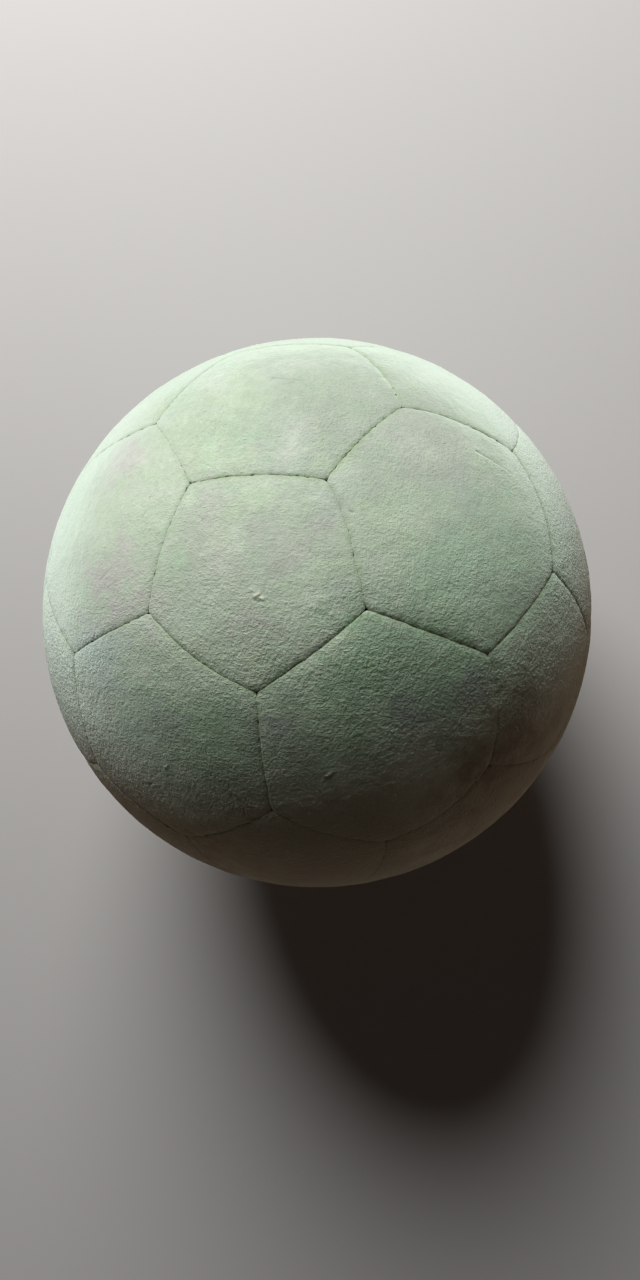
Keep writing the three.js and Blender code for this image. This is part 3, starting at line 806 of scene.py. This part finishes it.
class Shader:
    """A material whose nodes are added one by one."""

    def __init__(self, name):
        self.material = bpy.data.materials.new(name)
        self.material.use_nodes = True
        self.tree = self.material.node_tree
        self.shader = self.tree.nodes["Principled BSDF"]
        self.place = self.add("ShaderNodeTexCoord").outputs["Object"]

    def add(self, kind, **settings):
        return add_node(self.tree, kind, **settings)

    def feed(self, socket, value):
        if isinstance(value, bpy.types.NodeSocket):
            self.tree.links.new(value, socket)
        elif value is not None:
            socket.default_value = value

    def noise(self, scale, detail=3.0, roughness=0.55, offset=(0, 0, 0), stretch=None):
        place = self.place
        if any(offset) or stretch:
            mapping = self.add("ShaderNodeMapping")
            self.feed(mapping.inputs["Vector"], place)
            mapping.inputs["Location"].default_value = offset
            mapping.inputs["Scale"].default_value = stretch or (1, 1, 1)
            place = mapping.outputs["Vector"]
        node = self.add("ShaderNodeTexNoise")
        self.feed(node.inputs["Vector"], place)
        for key, value in (("Scale", scale), ("Detail", detail), ("Roughness", roughness)):
            node.inputs[key].default_value = value
        return node.outputs["Fac"]

    def streaks(self, scale, longer, offset):
        """Short streaks that lie over each other in three directions."""
        share = 1 / longer
        streaks = [
            self.noise(scale, 1.5, 0.6, tuple(o + 0.37 * n for o in offset), stretch)
            for n, stretch in enumerate(((share, 1, 1), (1, share, 1), (1, 1, share)))
        ]
        return self.math("MAXIMUM", self.math("MAXIMUM", streaks[0], streaks[1]), streaks[2])

    def span(self, value, low, high, to_low=0.0, to_high=1.0):
        """The value's way from low to high as a smooth step from to_low to to_high."""
        node = self.add("ShaderNodeMapRange", interpolation_type="SMOOTHSTEP")
        self.feed(node.inputs["Value"], value)
        ends = {"From Min": low, "From Max": high, "To Min": to_low, "To Max": to_high}
        for key, number in ends.items():
            node.inputs[key].default_value = number
        return node.outputs["Result"]

    def math(self, operation, a, b=None):
        node = self.add("ShaderNodeMath", operation=operation)
        self.feed(node.inputs[0], a)
        self.feed(node.inputs[1], b)
        return node.outputs[0]

    def mix(self, factor, a, b, blend="MIX"):
        node = self.add("ShaderNodeMix", data_type="RGBA", blend_type=blend)
        self.feed(node.inputs["Factor"], factor)
        colours = [s for s in node.inputs if s.type == "RGBA"]
        self.feed(colours[0], (*a, 1) if isinstance(a, tuple) else a)
        self.feed(colours[1], (*b, 1) if isinstance(b, tuple) else b)
        return next(s for s in node.outputs if s.type == "RGBA")

    def grey(self, value):
        node = self.add("ShaderNodeCombineColor")
        for key in ("Red", "Green", "Blue"):
            self.feed(node.inputs[key], value)
        return node.outputs["Color"]

    def attribute(self, name):
        return self.add("ShaderNodeAttribute", attribute_name=name).outputs["Fac"]

    def bump(self, height, distance, strength=1.0, normal=None):
        node = self.add("ShaderNodeBump")
        node.inputs["Strength"].default_value = strength
        node.inputs["Distance"].default_value = distance
        self.feed(node.inputs["Height"], height)
        self.feed(node.inputs["Normal"], normal)
        return node.outputs["Normal"]

    def wave(self, direction, scale, distortion):
        node = self.add("ShaderNodeTexWave", wave_type="BANDS", bands_direction=direction)
        self.feed(node.inputs["Vector"], self.place)
        node.inputs["Scale"].default_value = scale
        node.inputs["Distortion"].default_value = distortion
        return node.outputs["Fac"]

    def finish(self, colour, normal=None, **sockets):
        self.feed(self.shader.inputs["Base Color"], colour)
        self.feed(self.shader.inputs["Normal"], normal)
        for key, value in sockets.items():
            self.feed(self.shader.inputs[key.replace("_", " ")], value)
        return self.material


# Places of patches on the felt, stains and in places painted shade and painted light, as
# directions from the ball's centre, with reach in millimetres, colour and strength
DEEP_GREEN = (0.405, 0.582, 0.402)
DUSTY_PINK = (0.495, 0.484, 0.442)
SLATE = (0.420, 0.488, 0.440)
# A darker green for the lower half away from the lamp: partly stain, partly painted shade.
SHADED_LOW_GREEN = (0.278, 0.424, 0.270)
STAINS_AND_PAINTED_SHADING = [
    ((0.66, -0.02, 0.75), 44, DEEP_GREEN, 0.80),
    ((0.86, 0.06, 0.50), 34, DEEP_GREEN, 0.85),
    # Painted shade, partly stains: the next three, in the lower half away from the lamp, darker and
    # greener.
    ((0.42, -0.30, 0.86), 36, SHADED_LOW_GREEN, 0.80),
    ((-0.14, -0.50, 0.85), 38, SHADED_LOW_GREEN, 0.52),
    ((0.18, -0.46, 0.87), 34, SHADED_LOW_GREEN, 0.60),
    # Painted light: a paler patch on the hexagon towards negative x, lighter because of how the lamp falls
    # there.
    ((-0.45, 0.22, 0.87), 38, (0.535, 0.620, 0.478), 0.65),
    # Painted shade, partly stains: the next nine, darker greens and greys in the lower half away from the
    # lamp.
    ((-0.42, -0.38, 0.82), 24, (0.365, 0.500, 0.375), 0.50),
    ((0.46, -0.37, 0.81), 22, (0.270, 0.285, 0.250), 0.60),
    ((0.05, -0.43, 0.90), 13, (0.320, 0.340, 0.310), 0.60),
    ((0.54, -0.28, 0.79), 26, (0.270, 0.430, 0.262), 0.60),
    ((0.30, -0.24, 0.92), 20, (0.275, 0.430, 0.262), 0.45),
    ((-0.20, -0.50, 0.84), 26, (0.300, 0.465, 0.285), 0.50),
    ((-0.30, -0.41, 0.86), 11, (0.310, 0.365, 0.315), 0.50),
    ((0.61, -0.32, 0.72), 9, (0.300, 0.345, 0.305), 0.50),
    ((0.42, -0.40, 0.82), 10, (0.255, 0.300, 0.270), 0.50),
    ((-0.53, -0.24, 0.82), 16, (0.398, 0.502, 0.450), 0.65),
    ((-0.44, 0.01, 0.90), 17, DUSTY_PINK, 0.80),
    ((-0.56, -0.02, 0.83), 14, DUSTY_PINK, 0.45),
    ((-0.15, 0.14, 0.98), 19, DUSTY_PINK, 0.38),
    ((0.07, 0.08, 0.99), 17, (0.455, 0.462, 0.425), 0.42),
    ((-0.49, 0.42, 0.76), 16, DUSTY_PINK, 0.70),
    ((0.07, 0.43, 0.90), 15, SLATE, 0.30),
    # Painted shade: the hexagon towards positive y, under the lamp, darker.
    ((0.28, 0.56, 0.78), 52, (0.345, 0.405, 0.318), 0.85),
    ((0.25, 0.23, 0.94), 14, (0.425, 0.452, 0.415), 0.42),
    ((0.58, 0.22, 0.79), 12, SLATE, 0.35),
    ((0.46, 0.43, 0.78), 26, (0.462, 0.488, 0.430), 0.50),
    # Painted shade: darker felt on the side that faces the lamp, which tones its light down there.
    ((0.00, 0.98, -0.14), 84, (0.338, 0.418, 0.298), 0.85),
    # The next two darken the felt below the middle on either side.
    ((-0.85, 0.30, -0.40), 70, (0.375, 0.450, 0.335), 0.70),
    ((0.85, 0.35, -0.35), 70, (0.370, 0.452, 0.325), 0.70),
    # Painted shade: darker, greyer felt round the valve, on the side that faces the lamp.
    ((0.10, 0.90, 0.10), 34, (0.430, 0.430, 0.380), 0.60),
    ((-0.60, 0.55, -0.50), 46, (0.370, 0.355, 0.310), 0.50),
    ((0.80, 0.10, -0.40), 38, DEEP_GREEN, 0.60),
    ((-0.85, 0.45, 0.10), 30, DEEP_GREEN, 0.50),
]

# Brown, darker patches on the side away from the lamp: partly soil, partly painted shade for
# the dim, warmly lit underside. The sheen is dull there too, which is painted shade at the rims.
SOIL_AND_PAINTED_SHADE = [
    ((0.12, -0.84, 0.50), 76, (0.232, 0.205, 0.150), 0.55),
    ((0.72, -0.62, 0.32), 50, (0.232, 0.200, 0.145), 0.60),
    ((0.70, -0.46, 0.55), 28, (0.170, 0.140, 0.100), 0.55),
    ((-0.50, -0.74, 0.40), 50, (0.250, 0.225, 0.160), 0.45),
]

FELT_LIGHT = (0.478, 0.572, 0.431)
FELT_DARK = (0.425, 0.518, 0.384)
# Soil and painted shade in the seams' grooves
SEAM_SOIL_AND_SHADE_COLOUR = (0.245, 0.325, 0.175)
SUNK_MARK_COLOUR = (0.130, 0.150, 0.105)
RAISED_MARK_COLOUR = (0.720, 0.690, 0.560)
FLECK_COLOUR = (0.66, 0.66, 0.56)
SPECK_COLOUR = (0.250, 0.290, 0.215)
FUZZ_TINT = (0.84, 1.0, 0.90)

# Patches all over the felt: the noise's scale and offset, where in the noise a patch begins
# and where it is full, how strong it is then, and its colour
DYE_PATCHES = (
    (30, (0.31, 0.0, 0.1), 0.52, 0.68, 0.42, DUSTY_PINK),
    (42, (0.0, 0.47, 0.2), 0.54, 0.70, 0.40, SLATE),
    (36, (0.6, 0.2, 0.7), 0.53, 0.70, 0.45, DEEP_GREEN),
    (52, (0.9, 0.4, 0.3), 0.56, 0.72, 0.45, (0.448, 0.500, 0.345)),
)

# Slight turns of the hue: the same without the strength, and by what the colour is multiplied
HUE_PATCHES = (
    (62, (0.15, 0.85, 0.45), 0.48, 0.68, (1.020, 0.975, 1.025)),
    (85, (0.75, 0.35, 0.95), 0.48, 0.70, (0.970, 1.012, 0.960)),
)

PATCH_CORE = 0.2  # share of a patch's reach where it is at its full strength
PATCH_RAGGED = 0.009  # metres by which a patch's edge strays


def dyed(s):
    """The felt's own colour with its washed-out patches."""
    colour = s.mix(s.span(s.noise(38, 4, 0.6), 0.34, 0.66), FELT_DARK, FELT_LIGHT)
    for scale, offset, low, high, most, tint in DYE_PATCHES:
        patch = s.span(s.noise(scale, 4, 0.6, offset), low, high, 0.0, most)
        colour = s.mix(patch, colour, tint)
    return colour


def patched(s, colour, patch_list, ragged):
    """The colour with patches on it, whose edges are ragged: stains and soil, and in places painted shade
    and painted light.
    """
    for direction, size, tint, strength in patch_list:
        away = s.add("ShaderNodeVectorMath", operation="DISTANCE")
        s.feed(away.inputs[0], s.place)
        middle = (unit(direction) * BALL_RADIUS + BALL_CENTRE) * METRE
        away.inputs[1].default_value = tuple(middle)
        edge = s.math("ADD", away.outputs["Value"], ragged)
        share = s.span(edge, size * METRE * PATCH_CORE, size * METRE, strength, 0.0)
        colour = s.mix(share, colour, tint)
    return colour


def mottled(s, colour):
    """The colour with its uneven hue, its light and dark fibres, and the nap's hollows darker and its
    tufts paler: partly painted shade, partly dust.
    """
    for scale, offset, low, high, tint in HUE_PATCHES:
        patches = s.mix(s.span(s.noise(scale, 4, 0.65, offset), low, high), (1.0, 1.0, 1.0), tint)
        colour = s.mix(1.0, colour, patches, "MULTIPLY")
    mottle = s.span(s.noise(430, 4, 0.7), 0.30, 0.70, 0.94, 1.06)
    colour = s.mix(1.0, colour, s.grey(mottle), "MULTIPLY")
    # Painted shade in the nap's hollows, partly dust on its tufts: darker low, paler high.
    nap = s.span(s.attribute("nap_height"), -0.09, 0.12, 0.93, 1.05)
    return s.mix(1.0, colour, s.grey(nap), "MULTIPLY")


def used(s, colour):
    """The colour with soil and painted groove shade at the seams, the small marks, pale flecks and dark
    specks.
    """
    uneven = s.span(s.noise(120, 3, 0.6), 0.3, 0.65, 0.4, 1.1)
    # Soil and painted shade at the seams: the felt darker and yellower along each groove, more so where
    # the seam lies deeper.
    colour = s.mix(s.math("MULTIPLY", s.attribute("seam_soil_and_shade"), uneven), colour, SEAM_SOIL_AND_SHADE_COLOUR)
    mark = s.attribute("mark")
    colour = s.mix(s.span(mark, -0.04, -0.30, 0.0, 0.65), colour, SUNK_MARK_COLOUR)
    colour = s.mix(s.span(mark, 0.10, 0.28, 0.0, 0.85), colour, RAISED_MARK_COLOUR)
    fleck = s.span(s.noise(820, 2, 0.5, (0.2, 0.1, 0.3)), 0.70, 0.78, 0.0, 0.45)
    colour = s.mix(fleck, colour, FLECK_COLOUR)
    speck = s.span(s.noise(640, 2, 0.5, (0.7, 0.4, 0.1)), 0.26, 0.33, 0.50, 0.0)
    return s.mix(speck, colour, SPECK_COLOUR)


def felt_material():
    s = Shader("felt")
    ragged = s.span(s.noise(75, 5, 0.7), 0.3, 0.7, -PATCH_RAGGED, PATCH_RAGGED)
    colour = patched(s, dyed(s), STAINS_AND_PAINTED_SHADING, ragged)
    colour = used(s, mottled(s, colour))
    # Soil and painted shade: the brown patches on the side away from the lamp.
    colour = patched(s, colour, SOIL_AND_PAINTED_SHADE, ragged)

    # The fuzz's sheen widens where it is seen along the surface. Under the brown patches it is
    # dulled: partly soiled fuzz, partly painted shade on the rims away from the lamp.
    facing = s.add("ShaderNodeLayerWeight").outputs["Facing"]
    sheen_roughness = s.span(facing, 0.38, 0.82, 0.45, 0.85)
    sheen_tint_with_shade = patched(s, FUZZ_TINT, SOIL_AND_PAINTED_SHADE, ragged)
    fibres = s.bump(s.noise(2600, 2, 0.7), 0.0002, 0.5)
    streaks = s.math("MULTIPLY", s.streaks(1180, 2.6, (0.5, 0.2, 0.1)), s.attribute("nap_strength"))
    matted = s.bump(streaks, 0.0006, 1.0, fibres)
    return s.finish(
        colour, matted, Roughness=0.96, Specular_IOR_Level=0.18,
        Sheen_Weight=1.0, Sheen_Roughness=sheen_roughness, Sheen_Tint=sheen_tint_with_shade,
    )


def thread_material():
    s = Shader("waxed_thread")
    twist = s.wave("DIAGONAL", 420, 1.5)
    colour = s.mix(s.span(twist, 0.2, 0.8), (0.115, 0.135, 0.098), (0.235, 0.262, 0.205))
    colour = s.mix(s.span(s.noise(90), 0.4, 0.7, 0.0, 0.4), colour, (0.16, 0.15, 0.12))
    return s.finish(colour, s.bump(twist, 0.0002, 0.6), Roughness=0.6, Sheen_Weight=0.15)


def rubber_material(name, dark, light, dust, roughness):
    s = Shader(name)
    colour = s.mix(s.span(s.noise(60, 4), 0.35, 0.65), dark, light)
    dusty = s.span(s.noise(300, 3, 0.6, (0.1, 0.2, 0.4)), 0.52, 0.72, 0.0, 0.35)
    colour = s.mix(dusty, colour, dust)
    rough = s.span(s.noise(180, 3), 0.3, 0.7, roughness - 0.08, roughness + 0.1)
    return s.finish(colour, s.bump(s.noise(1400, 2), 0.0001, 0.35), Roughness=rough)


def weave_material():
    s = Shader("cotton_patch")
    weave = s.math("MULTIPLY", s.wave("X", 330, 0.6), s.wave("Z", 330, 0.6))
    colour = s.mix(s.span(weave, 0.05, 0.6), (0.42, 0.38, 0.29), (0.64, 0.60, 0.49))
    return s.finish(colour, s.bump(weave, 0.0003, 0.7), Roughness=0.93, Sheen_Weight=0.2)


# The felt panels

def all_panels():
    for name in NAMES:
        keys = [(name, other) for other in NAMES if are_neighbours(name, other)]
        yield Panel(f"pentagon_panel_{name}", PENTAGONS[name], keys)
    centres = []
    for trio in itertools.combinations(NAMES, 3):
        if all(are_neighbours(a, b) for a, b in itertools.combinations(trio, 2)):
            centres.append((unit(sum(PENTAGONS[n] for n in trio)), trio))
    centres.sort(key=lambda c: -c[0][2])
    for ring, ring_name in enumerate(("top", "upper", "lower", "bottom")):
        members = centres[ring * 5:ring * 5 + 5]
        members.sort(key=lambda c: (round(abs(math.atan2(c[0][0], c[0][1])), 6), c[0][0]))
        for place, (middle, (a, b, c)) in enumerate(members):
            keys = [(a, b), (b, a), (b, c), (c, b), (c, a), (a, c)]
            yield Panel(f"hexagon_panel_{ring_name}_{place + 1}", middle, keys)


felt = felt_material()
for panel in all_panels():
    hole = HOLE_RADIUS if panel.name == VALVE_PANEL else 0.0
    points, faces, values = panel_mesh(panel, hole)
    piece = make_object(panel.name.replace("panel", "felt"), press_flat(points), faces, values)
    piece.data.materials.append(felt)
    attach(piece, "root")
    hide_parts(panel.name)


# The inner pieces, which keep their CAD shapes

THREADS = ("seam_thread_upper_half", "seam_thread_lower_half", "closing_thread")

# The name, dark and light colour, dust and roughness of each rubber
RUBBERS = {
    "bladder": ("talced_rubber", (0.020, 0.020, 0.018), (0.045, 0.044, 0.040), (0.30, 0.29, 0.27), 0.55),
    "valve_body": ("valve_rubber", (0.012, 0.012, 0.012), (0.026, 0.026, 0.025), (0.16, 0.15, 0.13), 0.48),
    "valve_core": ("core_rubber", (0.21, 0.20, 0.17), (0.29, 0.28, 0.24), (0.36, 0.34, 0.29), 0.45),
}
INNER = dict.fromkeys(THREADS, thread_material())
INNER.update({name: rubber_material(*look) for name, look in RUBBERS.items()})
INNER["valve_patch"] = weave_material()
for node_name, material in INNER.items():
    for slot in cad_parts[node_name].material_slots:
        slot.material = material


# Floor, light and camera, in metres

FLOOR_SIZE = 12.0
FLOOR_DROP = -0.00002  # just under the ball, so that no faces coincide
BACKDROP = (1.0, 0.985, 0.965, 1.0)
BACKDROP_LEVEL = 0.72
BACKDROP_REACH = (0.40, 0.80)  # from the ball
FLOOR_COLOUR = (0.48, 0.468, 0.455)
FLOOR_BOUNCE = (0.20, 0.108, 0.070)  # its colour to rays that light the ball
FLOOR_GLOW = (0.078, 0.048, 0.036, 1.0)
GLOW_REACH = (0.04, 0.22)


def make_floor():
    half = FLOOR_SIZE / 2
    corners = [(x * half, y * half, FLOOR_DROP) for x, y in ((-1, -1), (1, -1), (1, 1), (-1, 1))]
    mesh = bpy.data.meshes.new("floor")
    mesh.from_pydata(corners, [], [(0, 1, 2, 3)])
    floor = bpy.data.objects.new("floor", mesh)
    bpy.context.scene.collection.objects.link(floor)
    s = Shader("floor")
    seen = seeing_rays(s.tree)
    colour = s.mix(seen, FLOOR_BOUNCE, FLOOR_COLOUR)
    material = s.finish(colour, Roughness=0.9, Specular_IOR_Level=0.2)
    material.cycles.emission_sampling = "NONE"
    away = s.add("ShaderNodeVectorMath", operation="LENGTH")
    s.feed(away.inputs[0], s.place)
    away = away.outputs["Value"]

    # The floor gives the felt some warm light from below, though not right under the ball.
    glow = s.add("ShaderNodeEmission")
    glow.inputs["Color"].default_value = FLOOR_GLOW
    unseen = s.math("SUBTRACT", 1.0, seen)
    s.feed(glow.inputs["Strength"], s.math("MULTIPLY", unseen, s.span(away, *GLOW_REACH)))
    both = s.add("ShaderNodeAddShader")
    s.feed(both.inputs[0], s.shader.outputs[0])
    s.feed(both.inputs[1], glow.outputs[0])

    # Far from the ball the floor that is seen turns into the plain background.
    backdrop = s.add("ShaderNodeEmission")
    backdrop.inputs["Color"].default_value = BACKDROP
    backdrop.inputs["Strength"].default_value = BACKDROP_LEVEL
    blend = s.add("ShaderNodeMixShader")
    s.feed(blend.inputs[0], s.math("MULTIPLY", seen, s.span(away, *BACKDROP_REACH)))
    s.feed(blend.inputs[1], both.outputs[0])
    s.feed(blend.inputs[2], backdrop.outputs[0])
    s.feed(s.tree.nodes["Material Output"].inputs["Surface"], blend.outputs[0])
    mesh.materials.append(material)


TOWARDS_LIGHT = unit((-0.168, 0.791, 0.588))
LIGHT_DISTANCE = 1.2
LIGHT_HALF_ANGLE = math.radians(20)
KEY_LEVEL = 1.66  # times the level at which a facing surface shows its own colour
FILL_LEVEL = 0.020
FILL_COLOUR = (1.0, 0.72, 0.60, 1.0)


def make_light():
    data = bpy.data.lights.new("key", "AREA")
    data.shape = "DISK"
    data.size = 2 * LIGHT_DISTANCE * math.tan(LIGHT_HALF_ANGLE)
    data.energy = KEY_LEVEL * math.pi ** 2 * LIGHT_DISTANCE ** 2
    key = bpy.data.objects.new("key", data)
    key.location = Vector(BALL_CENTRE * METRE) + Vector(TOWARDS_LIGHT) * LIGHT_DISTANCE
    key.rotation_euler = Vector(TOWARDS_LIGHT).to_track_quat("Z", "Y").to_euler()
    bpy.context.scene.collection.objects.link(key)


def make_world():
    world = bpy.data.worlds.new("studio")
    world.use_nodes = True
    tree = world.node_tree
    lighting = tree.nodes["Background"]
    lighting.inputs["Color"].default_value = FILL_COLOUR
    lighting.inputs["Strength"].default_value = FILL_LEVEL
    backdrop = add_node(tree, "ShaderNodeBackground")
    backdrop.inputs["Color"].default_value = BACKDROP
    backdrop.inputs["Strength"].default_value = BACKDROP_LEVEL
    choice = add_node(tree, "ShaderNodeMixShader")
    tree.links.new(seeing_rays(tree), choice.inputs[0])
    tree.links.new(lighting.outputs[0], choice.inputs[1])
    tree.links.new(backdrop.outputs[0], choice.inputs[2])
    tree.links.new(choice.outputs[0], tree.nodes["World Output"].inputs["Surface"])
    bpy.context.scene.world = world


# The camera, fitted to the corners of the seams in the photograph
CAMERA_PLACE = (0.081691, -0.053024, 0.535350)
CAMERA_TURN = (5.66968, 10.62577, 0.49775)  # degrees
CAMERA_LENS = 30.03  # millimetres, as the sensor
CAMERA_SENSOR = 36.0
CAMERA_CLIP = (0.01, 50)


def make_camera():
    data = bpy.data.cameras.new("camera")
    data.sensor_width = CAMERA_SENSOR
    data.lens = CAMERA_LENS
    data.clip_start, data.clip_end = CAMERA_CLIP
    camera = bpy.data.objects.new("camera", data)
    camera.location = CAMERA_PLACE
    camera.rotation_euler = [math.radians(a) for a in CAMERA_TURN]
    bpy.context.scene.collection.objects.link(camera)
    bpy.context.scene.camera = camera


make_floor()
make_light()
make_world()
make_camera()
bpy.context.scene.view_settings.view_transform = "Standard"
